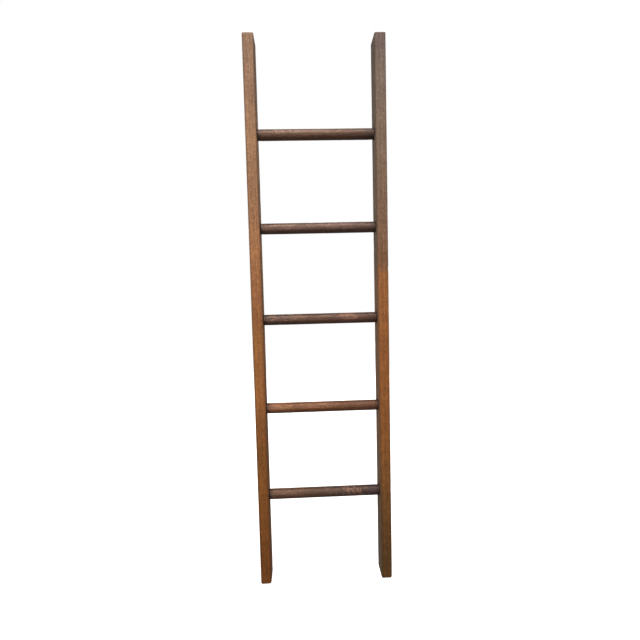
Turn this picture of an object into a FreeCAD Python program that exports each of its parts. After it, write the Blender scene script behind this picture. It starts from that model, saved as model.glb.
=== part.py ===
"""Straight wooden ladder: two rectangular rails on edge and five round rungs.

Frame: +X across the ladder to the right, +Y from the front edges to the back edges, +Z up along
the rails. The origin is on the floor, midway between the rails and midway through their depth.
Lengths are in millimetres. Each rung has a turned tenon at both ends. The tenons pass right
through the rails and are cut off flush, and one nail, driven from the rail's back edge, pins each.
"""
import FreeCAD, Part
import os

from FreeCAD import Vector

# Driving dimensions
FOOT = 304.8                    # the rungs are one foot apart, as on any stock ladder
RUNG_COUNT = 5
RUNG_PITCH = FOOT
HEIGHT = (RUNG_COUNT + 1) * RUNG_PITCH
WIDTH = 1.5 * FOOT              # over the outer faces of the rails
RAIL_THICKNESS = 36.5           # across the ladder
RAIL_DEPTH = 80.0               # front edge to back edge
RAIL_EDGE_RADIUS = 4.0          # the four long edges are rounded over
RAIL_END_CHAMFER = 3.0          # the sawn ends are only bevelled

RUNG_DIAMETER = 36.5
RUNG_SHOULDER_RADIUS = 2.0      # rounded corner where a rung meets a rail
TENON_DIAMETER = 25.0

NAIL_LENGTH = 50.8              # a sixpenny nail, two inches
NAIL_SHANK_DIAMETER = 2.9
NAIL_HEAD_DIAMETER = 6.0
NAIL_HEAD_THICKNESS = 1.2
NAIL_POINT_LENGTH = 4.0
NAIL_TIP_DIAMETER = 0.4
NAIL_SET_DEPTH = 0.4            # the head is driven this far below the wood

CUT_MARGIN = 1.0                # how far a cutter runs past the face it opens

# Derived dimensions
RAIL_CENTRE_X = (WIDTH - RAIL_THICKNESS) / 2
RAIL_INNER_X = WIDTH / 2 - RAIL_THICKNESS
SIDES = {"left": -1, "right": 1}

X_AXIS = Vector(1, 0, 0)
TOWARDS_FRONT = Vector(0, -1, 0)


def rung_heights():
    """Height of each rung's axis above the floor, lowest rung first."""
    return [(index + 1) * RUNG_PITCH for index in range(RUNG_COUNT)]


def make_nail(side, height):
    """A nail driven into the back edge, square to it, through the middle of the tenon."""
    head_y = RAIL_DEPTH / 2 - NAIL_SET_DEPTH
    neck_y = head_y - NAIL_HEAD_THICKNESS
    tip_y = head_y - NAIL_LENGTH
    centre_x = side * RAIL_CENTRE_X
    shank_length = neck_y - tip_y - NAIL_POINT_LENGTH

    head = Part.makeCylinder(NAIL_HEAD_DIAMETER / 2, NAIL_HEAD_THICKNESS,
                             Vector(centre_x, head_y, height), TOWARDS_FRONT)
    shank = Part.makeCylinder(NAIL_SHANK_DIAMETER / 2, shank_length,
                              Vector(centre_x, neck_y, height), TOWARDS_FRONT)
    point = Part.makeCone(NAIL_SHANK_DIAMETER / 2, NAIL_TIP_DIAMETER / 2, NAIL_POINT_LENGTH,
                          Vector(centre_x, tip_y + NAIL_POINT_LENGTH, height), TOWARDS_FRONT)
    return head.fuse([shank, point]).removeSplitter()


def make_nail_countersink(side, height):
    """The shallow round pit that the sunk nail head leaves in the back edge."""
    return Part.makeCylinder(NAIL_HEAD_DIAMETER / 2, NAIL_SET_DEPTH + CUT_MARGIN,
                             Vector(side * RAIL_CENTRE_X, RAIL_DEPTH / 2 + CUT_MARGIN, height),
                             TOWARDS_FRONT)


def make_rail_blank(side):
    """The rail before it is bored: long edges rounded over, sawn ends bevelled."""
    corner = Vector(side * RAIL_CENTRE_X - RAIL_THICKNESS / 2, -RAIL_DEPTH / 2, 0)
    bar = Part.makeBox(RAIL_THICKNESS, RAIL_DEPTH, HEIGHT, corner)
    long_edges = [edge for edge in bar.Edges if edge.Length > RAIL_DEPTH]
    bar = bar.makeFillet(RAIL_EDGE_RADIUS, long_edges)
    end_edges = [edge for edge in bar.Edges if edge.BoundBox.ZLength < RAIL_END_CHAMFER]
    return bar.makeChamfer(RAIL_END_CHAMFER, end_edges)


def make_rail(side, nails):
    """A rail on edge, with a through hole for each tenon and the holes its nails have made."""
    blank = make_rail_blank(side)
    cutters = list(nails)
    for height in rung_heights():
        start = Vector(side * RAIL_CENTRE_X - RAIL_THICKNESS / 2 - CUT_MARGIN, 0, height)
        cutters.append(Part.makeCylinder(TENON_DIAMETER / 2, RAIL_THICKNESS + 2 * CUT_MARGIN,
                                         start, X_AXIS))
        cutters.append(make_nail_countersink(side, height))
    return blank.cut(cutters)


def make_rung(height, nails):
    """A turned rung whose shoulders bear on the rails' inner faces, with a tenon at each end."""
    body = Part.makeCylinder(RUNG_DIAMETER / 2, 2 * RAIL_INNER_X,
                             Vector(-RAIL_INNER_X, 0, height), X_AXIS)
    rims = [edge for edge in body.Edges if isinstance(edge.Curve, Part.Circle)]
    body = body.makeFillet(RUNG_SHOULDER_RADIUS, rims)
    tenons = Part.makeCylinder(TENON_DIAMETER / 2, WIDTH, Vector(-WIDTH / 2, 0, height), X_AXIS)
    return body.fuse(tenons).removeSplitter().cut(nails)


def build_parts():
    """Every sub-part of the ladder, by node name."""
    nails = {side: [make_nail(sign, height) for height in rung_heights()]
             for side, sign in SIDES.items()}
    parts = {}
    for side, sign in SIDES.items():
        parts[side + "_rail"] = make_rail(sign, nails[side])
        parts[side + "_rail_nails"] = Part.makeCompound(nails[side])
    for index, height in enumerate(rung_heights()):
        pinned_by = [nails[side][index] for side in SIDES]
        parts["rung_%d" % (index + 1)] = make_rung(height, pinned_by)
    return parts


os.makedirs("parts", exist_ok=True)
for node, shape in build_parts().items():
    for solid in shape.Solids:
        assert solid.isValid() and solid.isClosed(), node
    shape.exportStep("parts/%s.step" % node)
    print("%-18s %2d solid(s) %12.1f mm3" % (node, len(shape.Solids), shape.Volume))
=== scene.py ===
"""Looks of a straight wooden ladder: two rails on edge and five turned rungs, pinned with nails.

Lengths are in metres and MM turns millimetres into them. +X runs across the ladder, +Y from the
front edges of the rails to the back edges, +Z up. Every piece is a dense mesh whose wear is real
geometry; finer grain and all colour come from procedural wood and iron.
"""

import itertools
import math

import bmesh
import bpy
import numpy as np
from mathutils import Matrix, Vector


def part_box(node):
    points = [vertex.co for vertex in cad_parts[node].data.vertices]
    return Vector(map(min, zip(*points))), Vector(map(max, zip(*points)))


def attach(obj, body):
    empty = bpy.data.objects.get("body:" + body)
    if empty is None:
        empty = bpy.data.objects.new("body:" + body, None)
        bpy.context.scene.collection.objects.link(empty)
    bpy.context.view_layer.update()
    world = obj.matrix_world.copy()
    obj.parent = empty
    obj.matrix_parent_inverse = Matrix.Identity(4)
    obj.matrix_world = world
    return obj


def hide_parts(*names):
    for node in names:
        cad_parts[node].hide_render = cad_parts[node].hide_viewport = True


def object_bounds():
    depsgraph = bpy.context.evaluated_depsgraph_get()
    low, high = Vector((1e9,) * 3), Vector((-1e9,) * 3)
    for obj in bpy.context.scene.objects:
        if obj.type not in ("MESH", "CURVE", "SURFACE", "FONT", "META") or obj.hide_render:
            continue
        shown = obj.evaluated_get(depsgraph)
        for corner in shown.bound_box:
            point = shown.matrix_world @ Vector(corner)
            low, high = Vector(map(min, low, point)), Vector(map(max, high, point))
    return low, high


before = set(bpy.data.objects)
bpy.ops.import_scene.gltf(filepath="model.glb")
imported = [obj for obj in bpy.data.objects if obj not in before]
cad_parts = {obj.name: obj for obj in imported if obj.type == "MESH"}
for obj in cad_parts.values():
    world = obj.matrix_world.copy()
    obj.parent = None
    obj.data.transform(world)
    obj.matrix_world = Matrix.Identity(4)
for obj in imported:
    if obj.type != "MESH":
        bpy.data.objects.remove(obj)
cad_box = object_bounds()

MM = 0.001
X, Y, Z = 0, 1, 2

# The record gives the boxes; these are the dimensions that a box doesn't show.
TENON_RADIUS = 12.5 * MM
NAIL_HEAD_RADIUS = 3.0 * MM
NAIL_HEAD_THICKNESS = 1.2 * MM
NAIL_SHANK_RADIUS = 1.45 * MM
NAIL_POINT = 4.0 * MM

RAILS = ("left_rail", "right_rail")
RUNGS = ("rung_1", "rung_2", "rung_3", "rung_4", "rung_5")

# Mesh density
EDGE_ZONE = 8.0 * MM              # the arrises are meshed more finely within this
EDGE_STEP = 1.1 * MM
FLAT_STEP = 2.9 * MM
RAIL_STEP = 2.6 * MM              # along the rail
RUNG_STEP = 1.6 * MM              # along the rung
RUNG_SIDES = 112
CUTTER_SIDES = 64
NAIL_SIDES = 40

TENON_GAP = 0.25 * MM
NAIL_GAP = 0.05 * MM
SHARP_ANGLE = math.radians(38)


# ---------------------------------------------------------------- noise and meshes

def cell_values(cell, seed):
    """A repeatable number from 0 to 1 for every whole-number cell."""
    key = cell.astype(np.uint32)
    mixed = key[:, 0] * np.uint32(374761393) + key[:, 1] * np.uint32(668265263)
    mixed = mixed + key[:, 2] * np.uint32(2246822519) + np.uint32(seed * 97 + 13)
    mixed = (mixed ^ (mixed >> np.uint32(13))) * np.uint32(1274126177)
    mixed = (mixed ^ (mixed >> np.uint32(15))) * np.uint32(2654435761)
    return (mixed ^ (mixed >> np.uint32(16))) / np.float64(2 ** 32 - 1)


def noise(points, size, seed):
    """Smooth noise from -1 to 1, its blobs about size across along each axis."""
    place = points / np.asarray(size) + 1000
    cell = np.floor(place).astype(np.int64)
    part = place - cell
    part = part * part * (3 - 2 * part)
    total = np.zeros(len(points))
    for corner in itertools.product((0, 1), repeat=3):
        weight = np.prod(np.where(corner, part, 1 - part), axis=1)
        total += weight * cell_values(cell + corner, seed)
    return 2 * total - 1


def blend(low, high, value):
    """0 below low, 1 above high and smooth between."""
    part = np.clip((value - low) / (high - low), 0, 1)
    return part * part * (3 - 2 * part)


def graded(half, zone, fine, coarse):
    """Positions from -half to half, fine within zone of either end and coarse between."""
    inner = half - zone
    ends = np.linspace(inner, half, round(zone / fine) + 1)
    middle = np.linspace(-inner, inner, max(1, round(2 * inner / coarse)) + 1)[1:-1]
    return np.concatenate([-ends[::-1], middle, ends])


def box_lattice(lines):
    """Vertices and outward quads of a box surface with lattice lines at these x, y and z."""
    place = np.stack(np.meshgrid(*lines, indexing="ij"), axis=-1)
    skin = np.zeros(place.shape[:3], bool)
    for axis, end in itertools.product((X, Y, Z), (0, -1)):
        np.moveaxis(skin, axis, 0)[end] = True
    number = np.full(skin.shape, -1)
    number[skin] = np.arange(skin.sum())
    quads = []
    for axis, end in itertools.product((X, Y, Z), (0, -1)):
        side = np.moveaxis(number, axis, 0)[end]
        corners = [side[:-1, :-1], side[1:, :-1], side[1:, 1:], side[:-1, 1:]]
        found = np.stack(corners, axis=-1).reshape(-1, 4)
        turned_in = (end == 0) != (axis == Y)
        quads.append(found[:, ::-1] if turned_in else found)
    return place[skin], np.concatenate(quads).tolist()


def turned(profile, sides, axis):
    """A solid turned about an axis from (along, radius) pairs, whose first and last lie on it."""
    along, radius = np.array(profile).T
    angle = np.arange(sides) * 2 * np.pi / sides
    rings = [np.stack([np.full(sides, a), r * np.cos(angle), r * np.sin(angle)], axis=-1)
             for a, r in zip(along[1:-1], radius[1:-1])]
    poles = [[along[0], 0, 0], [along[-1], 0, 0]]
    points = np.concatenate(rings + [poles])
    first_pole, last_pole = len(points) - 2, len(points) - 1
    near = np.arange(sides)
    far = np.roll(near, -1)
    faces = []
    for ring in range(len(rings) - 1):
        base = ring * sides
        quad = [base + near, base + far, base + sides + far, base + sides + near]
        faces += np.stack(quad, axis=-1).tolist()
    base = (len(rings) - 1) * sides
    faces += [[first_pole, b, a] for a, b in zip(near.tolist(), far.tolist())]
    faces += [[last_pole, base + a, base + b] for a, b in zip(near.tolist(), far.tolist())]
    return np.roll(points, axis, axis=1), faces


def loft(sections):
    """A closed solid skinned over loops of equal length and closed by a face at each end."""
    count, sides = sections.shape[:2]
    faces = [list(range(sides))[::-1], [(count - 1) * sides + i for i in range(sides)]]
    for row, i in itertools.product(range(count - 1), range(sides)):
        a, b = row * sides + i, row * sides + (i + 1) % sides
        faces.append([a, b, b + sides, a + sides])
    return sections.reshape(-1, 3), faces


def joined(solids):
    """Several solids as one list of vertices and faces."""
    points, faces, count = [], [], 0
    for these, those in solids:
        points.append(these)
        faces += [[i + count for i in face] for face in those]
        count += len(these)
    return np.concatenate(points), faces


def new_object(name, points, faces, slot=0):
    """A mesh object whose faces all carry this material slot and face outwards."""
    mesh = bpy.data.meshes.new(name)
    mesh.from_pydata(points.tolist(), [], faces)
    build = bmesh.new()
    build.from_mesh(mesh)
    bmesh.ops.recalc_face_normals(build, faces=build.faces)
    for face in build.faces:
        face.material_index = slot
    build.to_mesh(mesh)
    build.free()
    thing = bpy.data.objects.new(name, mesh)
    bpy.context.scene.collection.objects.link(thing)
    return thing


def cut_away(piece, solids):
    """Cuts the solids out of a piece and marks the faces they leave with material slot 1."""
    cutter = new_object(piece.name + "_cutter", *joined(solids), slot=1)
    for name in ("outside", "inside"):
        marker = bpy.data.materials.get(name) or bpy.data.materials.new(name)
        piece.data.materials.append(marker)
        cutter.data.materials.append(marker)
    change = piece.modifiers.new("cut", "BOOLEAN")
    change.operation = "DIFFERENCE"
    change.solver = "EXACT"
    change.material_mode = "INDEX"
    change.object = cutter
    result = bpy.data.meshes.new_from_object(
        piece.evaluated_get(bpy.context.evaluated_depsgraph_get()))
    piece.modifiers.clear()
    piece.data = result
    result.name = piece.name
    bpy.data.objects.remove(cutter)


def vertex_places(mesh):
    """The vertices' places, one row each."""
    found = np.empty(len(mesh.vertices) * 3, np.float32)
    mesh.vertices.foreach_get("co", found)
    return found.reshape(-1, 3).astype(float)


def write_attribute(mesh, name, values):
    """One number per vertex, which a material reads by this name."""
    layer = mesh.attributes.new(name, "FLOAT", "POINT")
    layer.data.foreach_set("value", np.asarray(values, np.float32))


def face_corners(mesh):
    """Per corner: its vertex and face. Per face: its centre, normal and whether it was cut."""
    vertex = np.empty(len(mesh.loops), np.int32)
    mesh.loops.foreach_get("vertex_index", vertex)
    total = np.empty(len(mesh.polygons), np.int32)
    mesh.polygons.foreach_get("loop_total", total)
    centre = np.empty(len(mesh.polygons) * 3, np.float32)
    mesh.polygons.foreach_get("center", centre)
    normal = np.empty(len(mesh.polygons) * 3, np.float32)
    mesh.polygons.foreach_get("normal", normal)
    slot = np.empty(len(mesh.polygons), np.int32)
    mesh.polygons.foreach_get("material_index", slot)
    face = np.repeat(np.arange(len(total)), total)
    return vertex, face, centre.reshape(-1, 3), normal.reshape(-1, 3), slot == 1


def finish_piece(piece, node, material):
    """One material, smooth faces with crisp corners, and the piece's place in the frame."""
    mesh = piece.data
    mesh.materials.clear()
    mesh.materials.append(material)
    mesh.polygons.foreach_set("material_index", np.zeros(len(mesh.polygons), np.int32))
    mesh.polygons.foreach_set("use_smooth", np.ones(len(mesh.polygons), bool))
    mesh.set_sharp_from_angle(angle=SHARP_ANGLE)
    mesh.update()
    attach(piece, "root")
    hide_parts(node)


def dents(points, marks):
    """How deep the marks go at each point. A mark is a centre, its reach by axis and a depth."""
    depth = np.zeros(len(points))
    for centre, reach, deep in marks:
        depth += deep * np.exp(-(((points - centre) / reach) ** 2).sum(axis=1))
    return depth


# ---------------------------------------------------------------- places in the frame

def box_centre(node):
    low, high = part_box(node)
    return np.array((low + high) / 2), np.array((high - low) / 2)


def rung_heights():
    return [box_centre(name)[0][Z] for name in RUNGS]


def inner_face(rail):
    """Where the rail's inner face stands on X."""
    centre, half = box_centre(rail)
    return centre[X] - math.copysign(half[X], centre[X])


# ---------------------------------------------------------------- rails

ARRIS_RADIUS = 4.0 * MM
ARRIS_RADIUS_SPREAD = 1.4 * MM
FOOT_WEAR_HEIGHT = 60 * MM
FOOT_WEAR_RADIUS = 2.0 * MM         # added to the arrises' rounding at the foot
WAVINESS = 0.20 * MM
RAISED_GRAIN = 0.14 * MM
RAIL_NICKS = 46
RAIL_DENTS = 60

HOLE_OVERRUN = 2 * MM               # how far a cutter stands out past the wood
MOUTH_DEPTH = 0.7 * MM              # the eased mouth of a tenon hole
MOUTH_WIDENING = 0.9 * MM

TOP_CRACK = 70 * MM                 # length, about
FOOT_CRACK = 55 * MM
CRACK_LIP = 1.5 * MM                # how far a crack's cutter stands out of the wood
CRACK_WANDER = 1.2 * MM
CRACK_STEPS = 22


def arris_radius(points, height, seed):
    """The rounding of the arrises, uneven along the rail and more worn at the foot."""
    radius = ARRIS_RADIUS + ARRIS_RADIUS_SPREAD * noise(points, (40 * MM, 60 * MM, 130 * MM), seed)
    foot = 1 - blend(0, FOOT_WEAR_HEIGHT, points[:, Z] + height)
    return radius + foot * FOOT_WEAR_RADIUS


def rail_marks(half, seed):
    """Nicks along the arrises and dents in the faces, more of them toward the foot."""
    pick = np.random.default_rng(seed)
    marks = []
    for _ in range(RAIL_NICKS):
        z = half[Z] * (1 - 2 * pick.random() ** 0.8)
        centre = (half[X] * pick.choice((-1, 1)), half[Y] * pick.choice((-1, 1)), z)
        reach = (pick.uniform(2, 5) * MM, pick.uniform(2, 5) * MM, pick.uniform(2, 12) * MM)
        marks.append((centre, reach, pick.uniform(0.3, 1.5) * MM))
    for _ in range(RAIL_DENTS):
        axis = pick.choice((X, Y))
        centre = half * pick.uniform(-0.95, 0.95, 3)
        centre[axis] = half[axis] * pick.choice((-1, 1))
        reach = (pick.uniform(3, 7) * MM, pick.uniform(3, 7) * MM, pick.uniform(3, 16) * MM)
        marks.append((centre, reach, pick.uniform(0.1, 0.5) * MM))
    return marks


def worn_bar(half, seed):
    """A sawn, planed and worn bar of this half size about its middle."""
    lines = [graded(half[X], EDGE_ZONE, EDGE_STEP, FLAT_STEP),
             graded(half[Y], EDGE_ZONE, EDGE_STEP, FLAT_STEP),
             graded(half[Z], EDGE_ZONE, EDGE_STEP, RAIL_STEP)]
    points, quads = box_lattice(lines)
    radius = arris_radius(points, half[Z], seed)[:, None]
    inner = np.clip(points, radius - half, half - radius)
    outward = points - inner
    outward /= np.linalg.norm(outward, axis=1, keepdims=True)
    depth = WAVINESS * (1 + noise(points, (45 * MM, 45 * MM, 220 * MM), seed + 1)) / 2
    depth += RAISED_GRAIN * (1 + noise(points, (3.4 * MM, 3.4 * MM, 90 * MM), seed + 2)) / 2
    depth += dents(points, rail_marks(half, seed + 3))
    return inner + outward * (radius - depth[:, None]), quads


def tenon_hole(rail, height):
    """A bored hole whose mouth at the rail's outer face is a little eased."""
    centre, half = box_centre(rail)
    side = math.copysign(1, centre[X])
    outer, inner = half[X] * side, -half[X] * side
    past = HOLE_OVERRUN * side
    bore, mouth = TENON_RADIUS + TENON_GAP, TENON_RADIUS + MOUTH_WIDENING
    ends = [(outer + past, 0), (outer + past, mouth + HOLE_OVERRUN),
            (outer - MOUTH_DEPTH * side, bore), (inner - past, bore), (inner - past, 0)]
    profile = [(along + centre[X], radius) for along, radius in ends]
    points, faces = turned(profile, CUTTER_SIDES, X)
    return points + (0, centre[Y], height), faces


def nail_profile(node, gap):
    """A nail along Y from its point to its head, swollen by gap."""
    low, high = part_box(node)
    neck = high.y - NAIL_HEAD_THICKNESS
    shank = NAIL_SHANK_RADIUS + gap
    return [(low.y - gap, 0), (low.y - gap, 0.2 * MM + gap), (low.y + NAIL_POINT, shank),
            (neck - gap, shank), (neck - gap, NAIL_HEAD_RADIUS + 3 * gap)]


def nail_hole(node, height):
    """The hole that a nail has made, open at the back edge."""
    profile = nail_profile(node, NAIL_GAP)
    open_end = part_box(node)[1].y + 3 * MM
    profile += [(open_end, NAIL_HEAD_RADIUS + 3 * NAIL_GAP), (open_end, 0)]
    points, faces = turned(profile, CUTTER_SIDES // 2, Y)
    return points + (box_centre(node)[0][X], 0, height), faces


def face_crack(start, run, out, across, width, depth, seed):
    """A drying crack: a thin wedge along run, open towards out, that closes at both ends."""
    start, run, out, across = (np.array(v, float) for v in (start, run, out, across))
    part = np.linspace(0, 1, CRACK_STEPS)
    swell = np.sin(np.pi * part) ** 0.7 + 0.03
    line = start + np.outer(part, run)
    line += np.outer(noise(line, (50 * MM,) * 3, seed) * CRACK_WANDER, across)
    lip = line + out * CRACK_LIP
    spread = np.outer(swell * width * (1 + CRACK_LIP / depth) / 2, across)
    floor = line - np.outer(swell * depth, out)
    return loft(np.stack([lip - spread, floor, lip + spread], axis=1))


def rail_cracks(rail, seed):
    """A few drying cracks, in from the ends and along the faces."""
    centre, half = box_centre(rail)
    pick = np.random.default_rng(seed)
    bottom, top = centre[Z] - half[Z], centre[Z] + half[Z]
    front, back = centre[Y] - half[Y], centre[Y] + half[Y]
    cracks = []
    for end, up, length in ((top, 1, TOP_CRACK), (bottom, -1, FOOT_CRACK)):
        for y, out in ((front, -1), (back, 1)):
            x = centre[X] + pick.uniform(-0.4, 0.4) * half[X]
            start = (x, y, end + up * 4 * MM)
            run = (pick.uniform(-1, 1) * MM, 0, -up * length * pick.uniform(0.7, 1.2))
            cracks.append(face_crack(start, run, (0, out, 0), (1, 0, 0),
                                     width=pick.uniform(0.5, 0.8) * MM,
                                     depth=pick.uniform(3, 6) * MM, seed=seed))
    for gap in range(len(RUNGS)):
        x_side = pick.choice((-1, 1))
        y = centre[Y] + pick.uniform(-0.6, 0.6) * half[Y]
        z = rung_heights()[gap] + pick.uniform(60, 110) * MM
        start = (centre[X] + x_side * half[X], y, z)
        run = (0, pick.uniform(-2, 2) * MM, pick.uniform(60, 140) * MM)
        cracks.append(face_crack(start, run, (x_side, 0, 0), (0, 1, 0),
                                 width=pick.uniform(0.35, 0.6) * MM,
                                 depth=pick.uniform(2, 4) * MM, seed=seed + gap))
    return cracks


ARRIS_DIRT_AND_SHADE = 3.2 * MM               # how far the dirt and painted shade on an arris fade into the face
INNER_DIRT_AND_SHADE = (17 * MM, 25 * MM)     # from the rung's axis: full dirt and painted shade to none, on the inner face
OUTER_DIRT_AND_SHADE = (12.6 * MM, 17 * MM)   # and round the tenon's end on the outer face
RUST_HALO = (2.8 * MM, 9 * MM)      # and of rust round a nail on the back edge
SAWN_DEPTH = (0.5 * MM, 3.5 * MM)   # how far in from an end the wood counts as sawn


def write_rail_masks(mesh, rail):
    """Per point: how near an arris, a rung, a nail or a sawn end it is, and if it faces inward."""
    centre, half = box_centre(rail)
    place = vertex_places(mesh) - centre
    from_side = half - np.abs(place)
    arris = np.maximum(from_side[:, X], from_side[:, Y])
    end_edge = np.maximum(from_side[:, Z], np.minimum(from_side[:, X], from_side[:, Y]))
    # Dirt and painted shade along the arrises and round the ends.
    write_attribute(mesh, "arris", np.exp(-np.minimum(arris, end_edge) / ARRIS_DIRT_AND_SHADE))
    inner = blend(2 * MM, 0.5 * MM, np.abs(place[:, X] + centre[X] - inner_face(rail)))
    joint = np.zeros(len(place))
    rust = np.zeros(len(place))
    for height in rung_heights():
        from_axis = np.hypot(place[:, Y], place[:, Z] + centre[Z] - height)
        # Dirt and painted shade round the rung, on the inner face and round the tenon's end.
        on_inside = inner * (1 - blend(*INNER_DIRT_AND_SHADE, from_axis))
        on_outside = (1 - inner) * (1 - blend(*OUTER_DIRT_AND_SHADE, from_axis))
        joint = np.maximum(joint, np.maximum(on_inside, 0.8 * on_outside))
        from_nail = np.hypot(place[:, X], place[:, Z] + centre[Z] - height)
        on_back = blend(6 * MM, 1 * MM, from_side[:, Y]) * (place[:, Y] > 0)
        rust = np.maximum(rust, on_back * (1 - blend(*RUST_HALO, from_nail)))
    write_attribute(mesh, "inner", inner)
    write_attribute(mesh, "joint", joint)
    write_attribute(mesh, "rust", rust)
    write_attribute(mesh, "sawn", 1 - blend(*SAWN_DEPTH, from_side[:, Z]))


# Texture map of a rail, in parts of the image: two columns for its lower and upper half, each
# with the four sides next to each other, over a strip for the ends and the cut faces.
MAP_GAP = 0.004
ENDS_STRIP = 0.06
END_START = 0.01
END_SPACING = 0.13
END_LENGTH = 0.11
CUTS_START = 0.28
CUTS_LENGTH = 0.70


def map_rail(mesh, rail):
    """Lays the rail's sides out flat and straight, so a texture of them keeps fine grain."""
    centre, half = box_centre(rail)
    vertex, face, middle, normal, is_cut = face_corners(mesh)
    place = vertex_places(mesh)[vertex] - centre
    middle = middle - centre
    side_axis = np.argmax(np.abs(normal), axis=1)
    sign = np.where(np.take_along_axis(normal, side_axis[:, None], 1)[:, 0] < 0, 0, 1)
    upper = (middle[:, Z] > 0).astype(int)
    along = np.where(upper[face] == 1, place[:, Z], place[:, Z] + half[Z]) / half[Z]
    u = np.zeros(len(vertex))
    v = ENDS_STRIP + MAP_GAP + along * (1 - ENDS_STRIP - 2 * MAP_GAP)
    starts = {(Y, 0): 0, (Y, 1): 2 * half[X], (X, 0): 4 * half[X],
              (X, 1): 4 * half[X] + 2 * half[Y]}
    total = 4 * (half[X] + half[Y])
    for order, ((axis, which), start) in enumerate(starts.items()):
        across = Y if axis == X else X
        mine = ((side_axis == axis) & (sign == which))[face]
        offset = start + place[mine, across] + half[across]
        column = 0.5 - 5 * MAP_GAP
        u[mine] = MAP_GAP * (order + 1) + offset / total * column + 0.5 * upper[face][mine]
    on_end = (side_axis == Z)[face]
    end = upper[face][on_end]
    part = (place / half + 1) / 2
    u[on_end] = END_START + END_SPACING * end + part[on_end, Y] * END_LENGTH
    v[on_end] = MAP_GAP + part[on_end, X] * (ENDS_STRIP - 2 * MAP_GAP)
    cut = is_cut[face]
    u[cut] = CUTS_START + CUTS_LENGTH * part[cut, Z]
    v[cut] = MAP_GAP + part[cut, Y] * (ENDS_STRIP - 2 * MAP_GAP)
    write_map(mesh, u, v)


def write_map(mesh, u, v):
    """Writes a texture map named OFBake."""
    layer = mesh.uv_layers.new(name="OFBake")
    layer.uv.foreach_set("vector", np.stack([u, v], axis=-1).astype(np.float32).ravel())


def make_rail(rail, seed, material):
    """A worn bar with its tenon holes, nail holes and cracks."""
    centre, half = box_centre(rail)
    points, quads = worn_bar(half, seed)
    piece = new_object(rail + "_wood", points + centre, quads)
    cuts = [tenon_hole(rail, height) for height in rung_heights()]
    cuts += [nail_hole(rail + "_nails", height) for height in rung_heights()]
    cuts += rail_cracks(rail, seed + 10)
    cut_away(piece, cuts)
    map_rail(piece.data, rail)
    write_rail_masks(piece.data, rail)
    finish_piece(piece, rail, material)


# ---------------------------------------------------------------- rungs

SHOULDER_RADIUS = 3.0 * MM
RUNG_DENTS = 34
RUNG_OVAL = 0.12 * MM               # how much each kind of wear takes off a rung, at most
RUNG_WAVINESS = 0.18 * MM
RUNG_RAISED_GRAIN = 0.10 * MM
RUNG_END_TAPER = 0.5 * MM
TENON_CRACK = 13 * MM


def rung_profile(radius, shoulder, reach):
    """(along, radius) from the middle of one tenon's end to the middle of the other's."""
    steps = np.arange(1, 12) / 12
    disc = [(-reach, TENON_RADIUS * part) for part in steps]
    rim = [(-reach, TENON_RADIUS - 0.4 * MM), (-reach + 0.4 * MM, TENON_RADIUS)]
    tenon = [(x, TENON_RADIUS) for x in np.linspace(-reach + 3 * MM, -shoulder, 12)]
    face = [(-shoulder, r) for r in np.linspace(TENON_RADIUS, radius - SHOULDER_RADIUS, 4)[1:]]
    corner = [(-shoulder + SHOULDER_RADIUS * (1 - math.cos(a)),
               radius - SHOULDER_RADIUS * (1 - math.sin(a)))
              for a in np.linspace(0, math.pi / 2, 8)[1:]]
    start = -shoulder + SHOULDER_RADIUS
    count = round(-2 * start / RUNG_STEP)
    body = [(x, radius) for x in np.linspace(start, -start, count + 1)[1:-1]]
    half = [(-reach, 0)] + disc + rim + tenon + face + corner
    return half + body + [(-x, r) for x, r in reversed(half)]


def rung_marks(radius, shoulder, seed):
    """Dents all over the rung's body."""
    pick = np.random.default_rng(seed)
    marks = []
    for _ in range(RUNG_DENTS):
        angle = pick.uniform(0, 2 * math.pi)
        centre = (pick.uniform(-0.95, 0.95) * shoulder,
                  radius * math.cos(angle), radius * math.sin(angle))
        reach = (pick.uniform(2, 9) * MM, pick.uniform(2, 5) * MM, pick.uniform(2, 5) * MM)
        marks.append((centre, reach, pick.uniform(0.1, 0.55) * MM))
    return marks


def wear_rung(points, radius, shoulder, tread, seed):
    """The turned surface after years of feet: flattened on top, dented and a little uneven."""
    away = np.hypot(points[:, Y], points[:, Z])
    angle = np.arctan2(points[:, Z], points[:, Y])
    body = blend(0, 4 * MM, shoulder - np.abs(points[:, X])) * blend(0.7, 0.95, away / radius)
    oval = RUNG_OVAL * (1 + np.cos(2 * angle + 0.8 * seed)) / 2
    wavy = RUNG_WAVINESS * (1 + noise(points, (55 * MM, 22 * MM, 22 * MM), seed)) / 2
    fibre = RUNG_RAISED_GRAIN * (1 + noise(points, (60 * MM, 2.4 * MM, 2.4 * MM), seed + 1)) / 2
    upward = blend(0.45, 1.0, np.sin(angle + 0.35))
    middle = np.exp(-(points[:, X] / (0.11 + 0.03 * tread)) ** 2)
    trodden = tread * MM * upward * middle
    ends = RUNG_END_TAPER * (1 - blend(0, 14 * MM, shoulder - np.abs(points[:, X])))
    depth = body * (oval + wavy + fibre + trodden + ends)
    depth += body * dents(points, rung_marks(radius, shoulder, seed + 2))
    depth += (1 - body) * 0.04 * MM * (1 + noise(points, (4 * MM,) * 3, seed + 3))
    scale = np.where(away > 1e-6, 1 - depth / np.maximum(away, 1e-6), 1)
    return points * np.stack([np.ones(len(points)), scale, scale], axis=-1)


def saw_ends(points, reach, seed):
    """Pushes the tenons' sawn ends in by uneven amounts, with the saw's shallow steps."""
    at_end = np.abs(points[:, X]) > reach - 0.6 * MM
    saw = np.sin(points[:, Y] / (0.9 * MM) + 2 * noise(points, (9 * MM,) * 3, seed))
    rough = noise(points, (3 * MM,) * 3, seed + 1)
    depth = (0.35 + 0.06 * saw + 0.10 * rough) * MM
    return points - np.outer(np.where(at_end, np.sign(points[:, X]) * depth, 0), (1, 0, 0))


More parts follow.
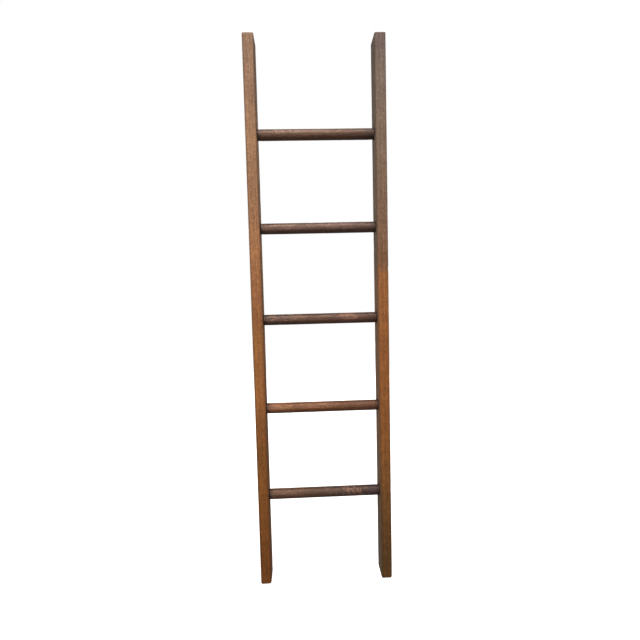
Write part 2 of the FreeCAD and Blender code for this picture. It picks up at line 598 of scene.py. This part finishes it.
def tenon_crack(reach, side, seed):
    """A short radial crack in a tenon's sawn end."""
    pick = np.random.default_rng(seed)
    angle = pick.uniform(0, 2 * math.pi)
    out = np.array((0, math.cos(angle), math.sin(angle)))
    start = np.array((side * reach, 0, 0)) - 3 * MM * out
    return face_crack(start, TENON_CRACK * out, (side, 0, 0), np.cross(out, (1, 0, 0)),
                      width=0.5 * MM, depth=3.5 * MM, seed=seed)


def write_rung_masks(mesh, node, shoulder, reach):
    """Per point: how near a rail or a sawn end it is, and how much it is trodden on, which also
    sets the painted shade underneath.
    """
    place = vertex_places(mesh) - box_centre(node)[0]
    from_shoulder = shoulder - np.abs(place[:, X])
    # Toward the rails: the material darkens this with dirt and painted shade, and keeps wear off
    # it.
    write_attribute(mesh, "end", 1 - blend(2 * MM, 16 * MM, from_shoulder))
    write_attribute(mesh, "sawn", blend(1.2 * MM, 0.3 * MM, reach - np.abs(place[:, X])))
    from_axis = np.maximum(np.hypot(place[:, Y], place[:, Z]), MM)
    facing_up = (place[:, Z] - 0.5 * place[:, Y]) / from_axis
    write_attribute(mesh, "tread", blend(-0.5, 0.8, facing_up))


# Texture map of a rung: its two halves unrolled one above the other, over a strip that holds two
# tenon ends and two shoulders in a row of discs, and then the cut faces.
RUNG_ENDS_STRIP = 0.16
RUNG_MAP_GAP = 0.01
DISC_SPACING = 0.17
DISC_RADIUS = 0.075
RUNG_CUTS_START = 0.72
RUNG_CUTS_LENGTH = 0.26
RUNG_CUTS_HEIGHT = 0.14


def map_rung(mesh, node, radius, reach):
    """Unrolls the rung in two lengths, over a strip for its discs, shoulders and nail holes."""
    centre = box_centre(node)[0]
    vertex, face, middle, normal, is_cut = face_corners(mesh)
    place = vertex_places(mesh)[vertex] - centre
    middle = middle - centre
    second = (middle[:, X] > 0)[face]
    turn = np.arctan2(place[:, Z], place[:, Y])
    face_turn = np.arctan2(middle[:, Z], middle[:, Y])[face]
    turn = face_turn + (turn - face_turn + np.pi) % (2 * np.pi) - np.pi
    along = np.where(second, place[:, X], place[:, X] + reach) / reach
    tall = (1 - RUNG_ENDS_STRIP) / 2
    inside = tall - 2 * RUNG_MAP_GAP
    u = RUNG_MAP_GAP / 2 + (1 - RUNG_MAP_GAP) * along
    v = RUNG_ENDS_STRIP + second * tall + RUNG_MAP_GAP + (turn / (2 * np.pi) + 0.5) * inside
    flat = (np.abs(normal[:, X]) > 0.8)[face] & ~is_cut[face]
    is_disc = (np.hypot(middle[:, Y], middle[:, Z]) < TENON_RADIUS)[face]
    start = RUNG_MAP_GAP + DISC_SPACING * (2 * second + ~is_disc)
    u[flat] = (start + (place[:, Y] / radius + 1) * DISC_RADIUS)[flat]
    v[flat] = (RUNG_MAP_GAP / 2 + (place[:, Z] / radius + 1) * DISC_RADIUS)[flat]
    cut = is_cut[face]
    u[cut] = (RUNG_CUTS_START + RUNG_CUTS_LENGTH * (place[:, X] / reach + 1) / 2)[cut]
    v[cut] = (RUNG_MAP_GAP + RUNG_CUTS_HEIGHT * (place[:, Y] / radius + 1) / 2)[cut]
    write_map(mesh, u, v)


def make_rung(node, seed, tread, material):
    """A worn rung with its tenons, nail holes and a crack in each end."""
    centre, half = box_centre(node)
    shoulder = abs(inner_face(RAILS[0]))
    reach, radius = half[X], half[Y]
    points, faces = turned(rung_profile(radius, shoulder, reach), RUNG_SIDES, X)
    points = wear_rung(points, radius, shoulder, tread, seed)
    points = saw_ends(points, reach, seed + 5)
    piece = new_object(node + "_wood", points + centre, faces)
    cuts = [nail_hole(rail + "_nails", centre[Z]) for rail in RAILS]
    for side in (-1, 1):
        crack, those = tenon_crack(reach, side, seed + 20 + side)
        cuts.append((crack + centre, those))
    cut_away(piece, cuts)
    map_rung(piece.data, node, radius, reach)
    write_rung_masks(piece.data, node, shoulder, reach)
    finish_piece(piece, node, material)


# ---------------------------------------------------------------- nails

CROWN_RIM = 0.45 * MM               # how far below its top a nail head starts to round over
CROWN_RISE = 0.15 * MM
HAMMER_MARKS = 0.16 * MM


def make_nails(rail, seed, material):
    """Five wire nails with hammered heads."""
    node = rail + "_nails"
    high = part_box(node)[1]
    crown = [(high.y - CROWN_RIM, NAIL_HEAD_RADIUS), (high.y - CROWN_RISE, 0.93 * NAIL_HEAD_RADIUS)]
    crown += [(high.y - CROWN_RISE * part ** 2, NAIL_HEAD_RADIUS * part)
              for part in (0.8, 0.65, 0.5, 0.35, 0.2, 0.1)]
    profile = nail_profile(node, 0)
    shank = [(y, NAIL_SHANK_RADIUS) for y in np.linspace(profile[2][0], profile[3][0], 20)[1:-1]]
    rim = [(profile[3][0], NAIL_SHANK_RADIUS + 0.7 * MM)]
    profile = profile[:3] + shank + [profile[3]] + rim + [profile[4]] + crown + [(high.y, 0)]
    nails = []
    for index, height in enumerate(rung_heights()):
        points, faces = turned(profile, NAIL_SIDES, Y)
        head = blend(high.y - 1.4 * MM, high.y - 0.6 * MM, points[:, Y])
        flaw = HAMMER_MARKS * (1 + noise(points + index, (1.7 * MM,) * 3, seed + index)) / 2
        points[:, Y] -= head * flaw
        bent = 1 - 0.05 * head * (1 + noise(points * (1, 0, 1) + index, (3 * MM,) * 3, seed)) / 2
        points[:, X] *= bent
        points[:, Z] *= bent
        nails.append((points + (box_centre(node)[0][X], 0, height), faces))
    piece = new_object(node + "_iron", *joined(nails))
    finish_piece(piece, node, material)


# ---------------------------------------------------------------- materials

class Nodes:
    """A short way to write a material's nodes."""

    def __init__(self, name):
        self.material = bpy.data.materials.new(name)
        self.material.use_nodes = True
        self.tree = self.material.node_tree
        self.shader = self.tree.nodes["Principled BSDF"]

    def feed(self, socket, value):
        if isinstance(value, bpy.types.NodeSocket):
            self.tree.links.new(value, socket)
        else:
            socket.default_value = value

    def add(self, kind, inputs, output=0, **settings):
        """A new node's output, its inputs given by name or number."""
        node = self.tree.nodes.new("ShaderNode" + kind)
        for name, value in settings.items():
            setattr(node, name, value)
        for socket, value in inputs.items():
            self.feed(node.inputs[socket], value)
        return node.outputs[output]

    def math(self, operation, a, b=0.0):
        return self.add("Math", {0: a, 1: b}, operation=operation)

    def plus(self, a, b):
        return self.math("ADD", a, b)

    def minus(self, a, b):
        return self.math("SUBTRACT", a, b)

    def times(self, a, b):
        return self.math("MULTIPLY", a, b)

    def weighted(self, *pairs):
        """The sum of (value, weight) pairs."""
        total = 0.0
        for value, weight in pairs:
            total = self.plus(self.times(value, weight), total)
        return total

    def vector(self, operation, a, b=(0, 0, 0), output=0):
        return self.add("VectorMath", {0: a, 1: b}, output, operation=operation)

    def stretched(self, place, factors):
        """place scaled by axis: a factor below 1 draws what is made of it out along that axis."""
        return self.vector("MULTIPLY", place, factors)

    def axis(self, place, name):
        return self.add("SeparateXYZ", {0: place}, name)

    def noise(self, place, scale, detail=2.0, roughness=0.5, distortion=0.0):
        return self.add("TexNoise", {"Vector": place, "Scale": scale, "Detail": detail,
                                     "Roughness": roughness, "Distortion": distortion})

    def ramp(self, value, stops):
        """A colour ramp from (position, colour) pairs."""
        node = self.tree.nodes.new("ShaderNodeValToRGB")
        elements = node.color_ramp.elements
        while len(elements) < len(stops):
            elements.new(0.5)
        for element, (position, colour) in zip(elements, stops):
            element.position = position
            element.color = (*colour, 1)
        self.feed(node.inputs[0], value)
        return node.outputs[0]

    def window(self, value, low, high, new_low=0.0, new_high=1.0, linear=False):
        """value's range from low to high turned into another, smoothly unless linear."""
        return self.add("MapRange", {"Value": value, "From Min": low, "From Max": high,
                                     "To Min": new_low, "To Max": new_high},
                        interpolation_type="LINEAR" if linear else "SMOOTHSTEP")

    def varied(self, light, value, low, high, tones):
        """light times the darker tone where value is low and the lighter one where it is high."""
        return self.times(light, self.window(value, low, high, *tones))

    def mix(self, factor, a, b):
        node = self.tree.nodes.new("ShaderNodeMix")
        node.data_type = "RGBA"
        for socket, value in ((0, factor), (6, a), (7, b)):
            if not isinstance(value, bpy.types.NodeSocket) and socket:
                value = (*value, 1)
            self.feed(node.inputs[socket], value)
        return node.outputs[2]

    def tinted(self, colour, mask, strength, tint):
        """colour with a tint over it where the mask is, at this strength."""
        return self.mix(self.times(mask, strength), colour, tint)

    def vector_scale(self, vector, factor):
        return self.add("VectorMath", {0: vector, "Scale": factor}, operation="SCALE")

    def attribute(self, name):
        return self.add("Attribute", {}, "Fac", attribute_name=name, attribute_type="GEOMETRY")

    def place(self):
        return self.add("TexCoord", {}, "Object")

    def bump(self, height, distance, strength=1.0):
        return self.add("Bump", {"Height": height, "Distance": distance, "Strength": strength})

    def finish(self, colour, roughness, normal, gloss=0.5, gloss_tint=(1, 1, 1)):
        """The finished material. gloss is its specular level, tinted by gloss_tint."""
        self.feed(self.shader.inputs["Specular IOR Level"], gloss)
        self.feed(self.shader.inputs["Specular Tint"], (*gloss_tint, 1))
        self.feed(self.shader.inputs["Base Color"], colour)
        self.feed(self.shader.inputs["Roughness"], roughness)
        self.feed(self.shader.inputs["Normal"], normal)
        return self.material


def srgb(red, green, blue):
    """A colour given in sRGB steps of 255, in linear light."""
    return tuple((c / 255 / 12.92) if c < 10.3 else ((c / 255 + 0.055) / 1.055) ** 2.4
                 for c in (red, green, blue))


INNER_REFLECTION_GREY = srgb(116, 106, 92)      # painted reflection of the pale surroundings, grey on the inner faces
RAIL_SCRATCH = srgb(176, 150, 128)
# Dirt and painted shade round the rungs' joints
JOINT_DIRT_AND_SHADE = srgb(34, 26, 22)
RUST_STAIN = srgb(48, 26, 16)
SAWN_RUNG = srgb(132, 92, 62)
WARM_GLOSS = (1.0, 0.76, 0.64)       # old shellac tints what it reflects
RAIL_RELIEF = 0.25 * MM
RUNG_RELIEF = 0.35 * MM

RAIL_RING_WIDTH = 3.4 * MM
RUNG_RING_WIDTH = 2.6 * MM
RING_SWAY = 0.022
RAIL_STRETCH = (1.0, 1.0, 0.03)      # the grain runs along Z in a rail and along X in a rung
RUNG_STRETCH = (0.04, 1.0, 1.0)

# How far each figure of the wood darkens and lightens it, and how far painted shade darkens a
# rung's underside
RAIL_TONES = dict(rings=(0.87, 1.07), fibres=(0.84, 1.16), blotch=(0.84, 1.16),
                  figure=(0.88, 1.12), speckle=(0.70, 1.30))
RUNG_TONES = dict(rings=(0.86, 1.10), fibres=(0.88, 1.12), blotch=(0.78, 1.22),
                  speckle=(0.68, 1.32), underside_shade=(0.76, 1.0))


def grain(nodes, place, stretch, across, pith, ring_width):
    """Growth rings, fibres and pores of solid wood, each about 0 to 1.

    stretch draws them out along the wood, across keeps only the other two axes, and pith is
    where the tree's middle stood.
    """
    drawn = nodes.stretched(place, stretch)
    sway = nodes.noise(drawn, 9.0, 2.0)
    sway = nodes.vector_scale(nodes.add("CombineXYZ", {0: sway, 1: sway, 2: sway}), RING_SWAY)
    section = nodes.stretched(nodes.vector("SUBTRACT", place, pith), across)
    distance = nodes.vector("LENGTH", nodes.vector("ADD", section, sway), output="Value")
    turns = nodes.math("DIVIDE", distance, ring_width)
    rings = nodes.add("TexNoise", {"W": turns, "Scale": 1.0, "Detail": 1.5, "Roughness": 0.6},
                      noise_dimensions="1D")
    rings = nodes.window(rings, 0.32, 0.68)
    fibres = nodes.noise(drawn, 620.0, 3.0, 0.6)
    pores = nodes.window(nodes.noise(drawn, 1500.0, 1.0), 0.60, 0.72)
    return rings, fibres, pores


def end_grain(nodes, rings, colour, dark):
    """Sawn end wood: darker than the faces, its growth rings plain to see."""
    return nodes.vector_scale(nodes.mix(0.45, colour, dark), nodes.window(rings, 0, 1, 0.72, 1.18))


def patch_mask(nodes, along, middle, half, strength):
    """A patch with soft edges, strongest at its middle."""
    away = nodes.math("ABSOLUTE", nodes.minus(along, middle))
    return nodes.window(away, 1.2 * half, 0.2 * half, 0.0, strength)


def stain_and_sheen_height(nodes, place):
    """The height at which a rail's stain, with its painted sheen and shade, is read. It wanders,
    and most toward the back.
    """
    drift = nodes.noise(nodes.stretched(place, (1, 1, 0.35)), 14.0, 3.0, 0.6)
    from_front = nodes.minus(nodes.axis(place, "Y"), cad_box[0][Y])
    wander = nodes.plus(nodes.times(from_front, 4.0), 0.16)
    return nodes.plus(nodes.axis(place, "Z"), nodes.times(nodes.minus(drift, 0.5), wander))


def hairlines(nodes, place, heights):
    """Fine pale scratches that lean a little, between two heights."""
    low, high = heights
    lean = nodes.add("VectorRotate", {"Vector": place, "Angle": math.radians(-12)},
                     rotation_type="Y_AXIS")
    lines = nodes.noise(nodes.stretched(lean, (1, 1, 0.13)), 400.0, 2.0, 0.6)
    where = patch_mask(nodes, nodes.axis(place, "Z"), (low + high) / 2, (high - low) / 2, 0.5)
    return nodes.times(nodes.window(lines, 0.57, 0.67), where)


def rail_material(name, stain, pith, dark, inner_reflection, scratched=None):
    """Old stained wood: a stain that changes with height, with painted sheen toward the top and
    painted shade toward the foot, streaked grain, arrises darkened by dirt and painted shade.

    inner_reflection is how far the inner face is tinted grey as a painted reflection. scratched
    gives two heights.
    """
    nodes = Nodes(name)
    place = nodes.place()
    rings, fibres, pores = grain(nodes, place, RAIL_STRETCH, (1, 1, 0), pith, RAIL_RING_WIDTH)
    blotch = nodes.noise(nodes.stretched(place, (1, 1, 0.5)), 38.0, 4.0, 0.65)
    figure = nodes.noise(nodes.stretched(place, (0.35, 0.35, 1)), 130.0, 3.0, 0.6, 0.5)
    speckle = nodes.noise(nodes.stretched(place, (1, 1, 0.4)), 360.0, 3.0, 0.75)

    tall = 2 * box_centre(RAILS[0])[1][Z]
    # The stain's own change with height, with painted sheen toward the top and painted shade toward
    # the foot.
    base = nodes.ramp(nodes.math("DIVIDE", stain_and_sheen_height(nodes, place), tall), stain)
    light = nodes.window(rings, 0.0, 1.0, *RAIL_TONES["rings"])
    light = nodes.varied(light, fibres, 0.25, 0.75, RAIL_TONES["fibres"])
    light = nodes.varied(light, blotch, 0.25, 0.75, RAIL_TONES["blotch"])
    light = nodes.varied(light, figure, 0.27, 0.73, RAIL_TONES["figure"])
    light = nodes.varied(light, speckle, 0.27, 0.73, RAIL_TONES["speckle"])

    colour = nodes.vector_scale(base, light)
    # Painted reflection: the inner faces tinted grey.
    colour = nodes.tinted(colour, nodes.attribute("inner"), inner_reflection, INNER_REFLECTION_GREY)
    if scratched:
        colour = nodes.mix(hairlines(nodes, place, scratched), colour, RAIL_SCRATCH)
    colour = nodes.tinted(colour, pores, 0.45, dark)
    # Arrises darkened with dirt and painted shade.
    arris = nodes.times(nodes.attribute("arris"), nodes.window(blotch, 0.3, 0.6, 0.6, 1.0))
    colour = nodes.tinted(colour, arris, 0.75, dark)
    # Dirt and painted shade round the rungs' joints.
    colour = nodes.tinted(colour, nodes.attribute("joint"), 0.85, JOINT_DIRT_AND_SHADE)
    colour = nodes.tinted(colour, nodes.attribute("rust"), 0.7, RUST_STAIN)
    colour = nodes.mix(nodes.attribute("sawn"), colour, end_grain(nodes, rings, base, dark))

    rough = nodes.window(blotch, 0.2, 0.8, 0.52, 0.70)
    relief = nodes.weighted((rings, 0.5), (fibres, 0.8), (pores, -0.6), (speckle, 0.4))
    return nodes.finish(colour, rough, nodes.bump(relief, RAIL_RELIEF, 0.8), 0.3, WARM_GLOSS)


def worn_and_highlit_patches(nodes, along, wear, patches):
    """How worn and how highlit the rung is along X: its general wear and its patches, partly
    painted highlight.
    """
    total = nodes.plus(wear, 0.0)
    for middle, half, strength in patches:
        total = nodes.plus(total, patch_mask(nodes, along, middle, half, strength))
    return total


def scraped_patch(nodes, place, along, patch):
    """Pale slanting strokes where something has scraped through the finish."""
    slant = nodes.add("VectorRotate", {"Vector": place, "Angle": math.radians(38)},
                      rotation_type="Y_AXIS")
    strokes = nodes.noise(nodes.stretched(slant, (1, 0.35, 0.22)), 240.0, 2.0, 0.6, 0.4)
    strokes = nodes.window(strokes, 0.47, 0.58)
    return nodes.times(strokes, patch_mask(nodes, along, *patch))


def rubbed_and_highlit(nodes, place, along, speckle, look):
    """How far the finish is worn away, in streaks on the tread, or scraped through. The streaks and
    patches on the tread are partly painted highlight.
    """
    streak = nodes.noise(nodes.stretched(place, (0.22, 1, 1)), 260.0, 3.0, 0.7)
    worn = worn_and_highlit_patches(nodes, along, look["wear"], look["patches"])
    rubbing_and_highlight = nodes.weighted((streak, 0.5), (speckle, 0.5))
    rubbing_and_highlight = nodes.plus(rubbing_and_highlight, nodes.times(worn, nodes.attribute("tread")))
    rubbing_and_highlight = nodes.times(nodes.window(rubbing_and_highlight, 0.58, 0.84), 0.75)
    if "scratches" in look:
        rubbing_and_highlight = nodes.math("MAXIMUM", rubbing_and_highlight, scraped_patch(nodes, place, along, look["scratches"]))
    return nodes.times(rubbing_and_highlight, nodes.minus(1.0, nodes.attribute("end")))


def rung_material(name, look, pith, dark):
    """Turned wood with a satin, handled finish, worn paler where feet and hands go, with painted
    highlight in the pale streaks on top, painted shade underneath, and dirt and painted shade
    toward the rails.
    """
    nodes = Nodes(name)
    place = nodes.place()
    rings, fibres, pores = grain(nodes, place, RUNG_STRETCH, (0, 1, 1), pith, RUNG_RING_WIDTH)
    blotch = nodes.noise(nodes.stretched(place, (0.35, 1, 1)), 55.0, 4.0, 0.65)
    speckle = nodes.noise(nodes.stretched(place, (0.45, 1, 1)), 400.0, 3.0, 0.75)

    drift = nodes.times(nodes.minus(blotch, 0.5), 0.14)
    along = nodes.plus(nodes.axis(place, "X"), drift)
    reach = abs(inner_face(RAILS[0]))
    base = nodes.ramp(nodes.window(along, -reach, reach, linear=True), look["stain"])
    light = nodes.window(rings, 0.0, 1.0, *RUNG_TONES["rings"])
    light = nodes.varied(light, fibres, 0.25, 0.75, RUNG_TONES["fibres"])
    light = nodes.varied(light, blotch, 0.25, 0.75, RUNG_TONES["blotch"])
    light = nodes.varied(light, speckle, 0.25, 0.75, RUNG_TONES["speckle"])
    # Painted shade: darker on the rung's underside.
    light = nodes.varied(light, nodes.attribute("tread"), 0.0, 0.7, RUNG_TONES["underside_shade"])

    colour = nodes.vector_scale(base, light)
    # Pale wear on the tread, partly painted highlight; the scraped strokes are wear.
    colour = nodes.mix(rubbed_and_highlit(nodes, place, along, speckle, look), colour, look["worn"])
    colour = nodes.tinted(colour, pores, 0.5, dark)
    # Dirt and painted shade darken the rung toward the rails.
    colour = nodes.tinted(colour, nodes.attribute("end"), 0.6, dark)
    sawn = end_grain(nodes, rings, SAWN_RUNG, dark)
    colour = nodes.tinted(colour, nodes.attribute("sawn"), 0.85, sawn)

    rough = nodes.window(blotch, 0.2, 0.8, 0.32, 0.46)
    relief = nodes.weighted((rings, 0.4), (fibres, 0.8), (pores, -0.5), (speckle, 1.0))
    return nodes.finish(colour, rough, nodes.bump(relief, RUNG_RELIEF), 0.6, WARM_GLOSS)


def iron_material():
    """Nail iron, bright steel in places and rusty in others."""
    nodes = Nodes("nail_iron")
    place = nodes.place()
    fine = nodes.noise(place, 900.0, 4.0, 0.7)
    broad = nodes.noise(place, 260.0, 3.0, 0.6)
    rust = nodes.window(broad, 0.38, 0.6)
    steel = nodes.ramp(fine, [(0.3, srgb(60, 56, 54)), (0.7, srgb(112, 104, 98))])
    brown = nodes.ramp(fine, [(0.3, srgb(46, 27, 18)), (0.7, srgb(104, 58, 32))])
    colour = nodes.mix(rust, steel, brown)
    nodes.feed(nodes.shader.inputs["Metallic"], nodes.window(rust, 0.2, 0.8, 0.85, 0.1))
    rough = nodes.window(rust, 0.0, 1.0, 0.42, 0.8)
    return nodes.finish(colour, rough, nodes.bump(fine, 0.08 * MM, 0.7))


# ---------------------------------------------------------------- stage

CAMERA_PLACE = (-0.0626, -1.5643, 1.0329)
CAMERA_AIM = (-0.0012, 0.0, 0.9096)
CAMERA_ROLL = math.radians(-1.372)
SENSOR_WIDTH = 36.0                 # as the lens, in millimetres
FOCAL_LENGTH = 25.91

LAMP_COLOUR = (1.0, 0.93, 0.86)
SKY_STRENGTH = 0.20
FLOOR_COLOUR = 0.8
FLOOR_HALF_SIZE = 14.0


def make_floor():
    """A wide, plain, nearly white floor that throws little light up at the ladder."""
    size = FLOOR_HALF_SIZE
    points = np.array([(-size, -size, 0), (size, -size, 0), (size, size, 0), (-size, size, 0)])
    floor = new_object("studio_floor", points, [[0, 1, 2, 3]])
    nodes = Nodes("studio_paper")
    nodes.feed(nodes.shader.inputs["Base Color"], (FLOOR_COLOUR,) * 3 + (1,))
    nodes.feed(nodes.shader.inputs["Roughness"], 0.9)
    nodes.feed(nodes.shader.inputs["Emission Color"], (1, 1, 1, 1))
    nodes.feed(nodes.shader.inputs["Emission Strength"], 1 - FLOOR_COLOUR * SKY_STRENGTH)
    floor.data.materials.append(nodes.material)
    floor.visible_diffuse = False
    floor.visible_glossy = False


def make_world():
    """White behind the ladder, and a dimmer, even light all round it."""
    world = bpy.data.worlds.new("studio")
    world.use_nodes = True
    bpy.context.scene.world = world
    tree = world.node_tree
    tree.nodes.clear()
    seen = tree.nodes.new("ShaderNodeBackground")
    seen.inputs["Color"].default_value = (1, 1, 1, 1)
    lit = tree.nodes.new("ShaderNodeBackground")
    lit.inputs["Color"].default_value = (1, 1, 1, 1)
    lit.inputs["Strength"].default_value = SKY_STRENGTH
    rays = tree.nodes.new("ShaderNodeLightPath")
    pick = tree.nodes.new("ShaderNodeMixShader")
    out = tree.nodes.new("ShaderNodeOutputWorld")
    tree.links.new(rays.outputs["Is Camera Ray"], pick.inputs[0])
    tree.links.new(lit.outputs[0], pick.inputs[1])
    tree.links.new(seen.outputs[0], pick.inputs[2])
    tree.links.new(pick.outputs[0], out.inputs[0])


def add_softbox(name, place, aim, size, power, mirrored=True):
    """A rectangular soft light, which glossy faces show unless mirrored is off."""
    light = bpy.data.lights.new(name, "AREA")
    light.shape = "RECTANGLE"
    light.color = LAMP_COLOUR
    light.size, light.size_y = size
    light.energy = power
    thing = bpy.data.objects.new(name, light)
    thing.location = place
    thing.rotation_euler = (Vector(aim) - Vector(place)).to_track_quat("-Z", "Y").to_euler()
    thing.visible_glossy = mirrored
    bpy.context.scene.collection.objects.link(thing)


def make_lights():
    add_softbox("overhead", (0.0, -1.3, 3.5), (0, 0, 0.9), (0.7, 2.4), 76)
    add_softbox("front", (-0.9, -3.6, 1.0), (0, 0, 0.7), (1.8, 1.6), 60)
    add_softbox("left", (-3.2, -0.2, 0.9), (0, 0, 0.7), (1.6, 1.6), 34)
    add_softbox("right", (3.2, -0.2, 0.9), (0, 0, 0.7), (1.6, 1.6), 34)
    add_softbox("back", (0.2, 3.4, 2.2), (0, 0, 0.9), (2.4, 1.8), 95, mirrored=False)


def make_camera():
    """The photograph's viewing place: near the ladder's middle height and a little to its left."""
    camera = bpy.data.cameras.new("camera")
    camera.sensor_width = SENSOR_WIDTH
    camera.lens = FOCAL_LENGTH
    thing = bpy.data.objects.new("camera", camera)
    thing.location = CAMERA_PLACE
    turn = (Vector(CAMERA_AIM) - thing.location).to_track_quat("-Z", "Y")
    roll = Matrix.Rotation(CAMERA_ROLL, 3, "Z")
    thing.rotation_euler = (turn.to_matrix() @ roll).to_euler()
    bpy.context.scene.collection.objects.link(thing)
    bpy.context.scene.camera = thing


# ---------------------------------------------------------------- the ladder

# Colours up each rail by part of its height: real stain, paler and greyer toward the top as painted
# sheen, darker toward the foot as painted shade.
LEFT_STAIN_AND_SHEEN = [
    (0.06, srgb(118, 70, 29)), (0.19, srgb(130, 81, 35)), (0.28, srgb(128, 80, 39)),
    (0.34, srgb(147, 94, 50)), (0.46, srgb(151, 100, 55)), (0.50, srgb(141, 91, 54)),
    (0.62, srgb(159, 111, 74)), (0.72, srgb(147, 108, 79)), (0.82, srgb(150, 115, 87)),
    (0.92, srgb(135, 105, 84)), (0.98, srgb(137, 109, 89))]
RIGHT_STAIN_AND_SHEEN = [
    (0.05, srgb(96, 66, 35)), (0.15, srgb(112, 74, 37)), (0.22, srgb(132, 85, 43)),
    (0.34, srgb(142, 89, 44)), (0.44, srgb(146, 91, 48)), (0.583, srgb(150, 98, 56)),
    (0.592, srgb(125, 88, 60)), (0.71, srgb(117, 93, 76)), (0.82, srgb(118, 99, 85)),
    (0.92, srgb(112, 98, 88)), (0.98, srgb(101, 88, 84))]

# Per rung: its colours along X as a part of the gap between the rails, the colour of its worn
# patches and painted highlights, how readily it wears and shows them, and its patches and scratches
# as (middle, half length, strength) along X. tread is how many millimetres of it feet have worn
# flat.
RUNG_LOOKS = {
    "rung_1": dict(
        stain=[(0.05, srgb(80, 53, 37)), (0.45, srgb(74, 51, 38)), (0.65, srgb(58, 43, 40)),
               (0.95, srgb(56, 44, 46))],
        worn=srgb(146, 108, 84), wear=0.0, tread=0.25,
        patches=[(-0.120, 0.095, 0.17), (0.030, 0.050, 0.13)], scratches=(0.098, 0.046, 0.80)),
    "rung_2": dict(
        stain=[(0.05, srgb(104, 62, 33)), (0.55, srgb(99, 59, 31)), (0.95, srgb(92, 57, 41))],
        worn=srgb(172, 120, 82), wear=0.08, tread=0.35,
        patches=[(-0.145, 0.050, 0.16), (-0.030, 0.080, 0.10)]),
    "rung_3": dict(
        stain=[(0.05, srgb(64, 44, 39)), (0.5, srgb(78, 49, 37)), (0.95, srgb(72, 46, 37))],
        worn=srgb(160, 116, 92), wear=0.02, tread=0.25,
        patches=[(-0.165, 0.022, 0.16), (-0.085, 0.055, 0.13), (0.098, 0.050, 0.19)]),
    "rung_4": dict(
        stain=[(0.05, srgb(74, 50, 41)), (0.6, srgb(70, 48, 41)), (0.95, srgb(66, 47, 42))],
        worn=srgb(140, 110, 98), wear=0.11, tread=0.25,
        patches=[(-0.110, 0.060, 0.08), (0.060, 0.080, 0.08)]),
    "rung_5": dict(
        stain=[(0.05, srgb(68, 45, 34)), (0.3, srgb(79, 52, 38)), (0.88, srgb(70, 45, 34)),
               (0.98, srgb(44, 33, 32))],
        worn=srgb(142, 106, 88), wear=0.05, tread=0.15,
        patches=[(-0.125, 0.040, 0.11), (0.020, 0.110, 0.07)]),
}

bpy.context.scene.view_settings.view_transform = "Standard"
make_camera()
make_world()
make_lights()
make_floor()

left_wood = rail_material("left_rail_stain_and_painted_light", LEFT_STAIN_AND_SHEEN, pith=(-0.150, 0.065, 0),
                          dark=srgb(58, 40, 30), inner_reflection=0.2)
right_wood = rail_material("right_rail_stain_and_painted_light", RIGHT_STAIN_AND_SHEEN, pith=(0.262, 0.050, 0),
                           dark=srgb(54, 40, 32), inner_reflection=0.5, scratched=(1.10, 1.45))
make_rail("left_rail", seed=11, material=left_wood)
make_rail("right_rail", seed=47, material=right_wood)
for number, (node, look) in enumerate(RUNG_LOOKS.items()):
    middle = box_centre(node)[0]
    pith = (0, 0.024 - 0.011 * number, middle[Z] + 0.030)
    wood = rung_material(node + "_stain_and_painted_light", look, pith, dark=srgb(40, 30, 28))
    make_rung(node, seed=100 + 30 * number, tread=look["tread"], material=wood)
iron = iron_material()
for rail in RAILS:
    make_nails(rail, seed=300, material=iron)
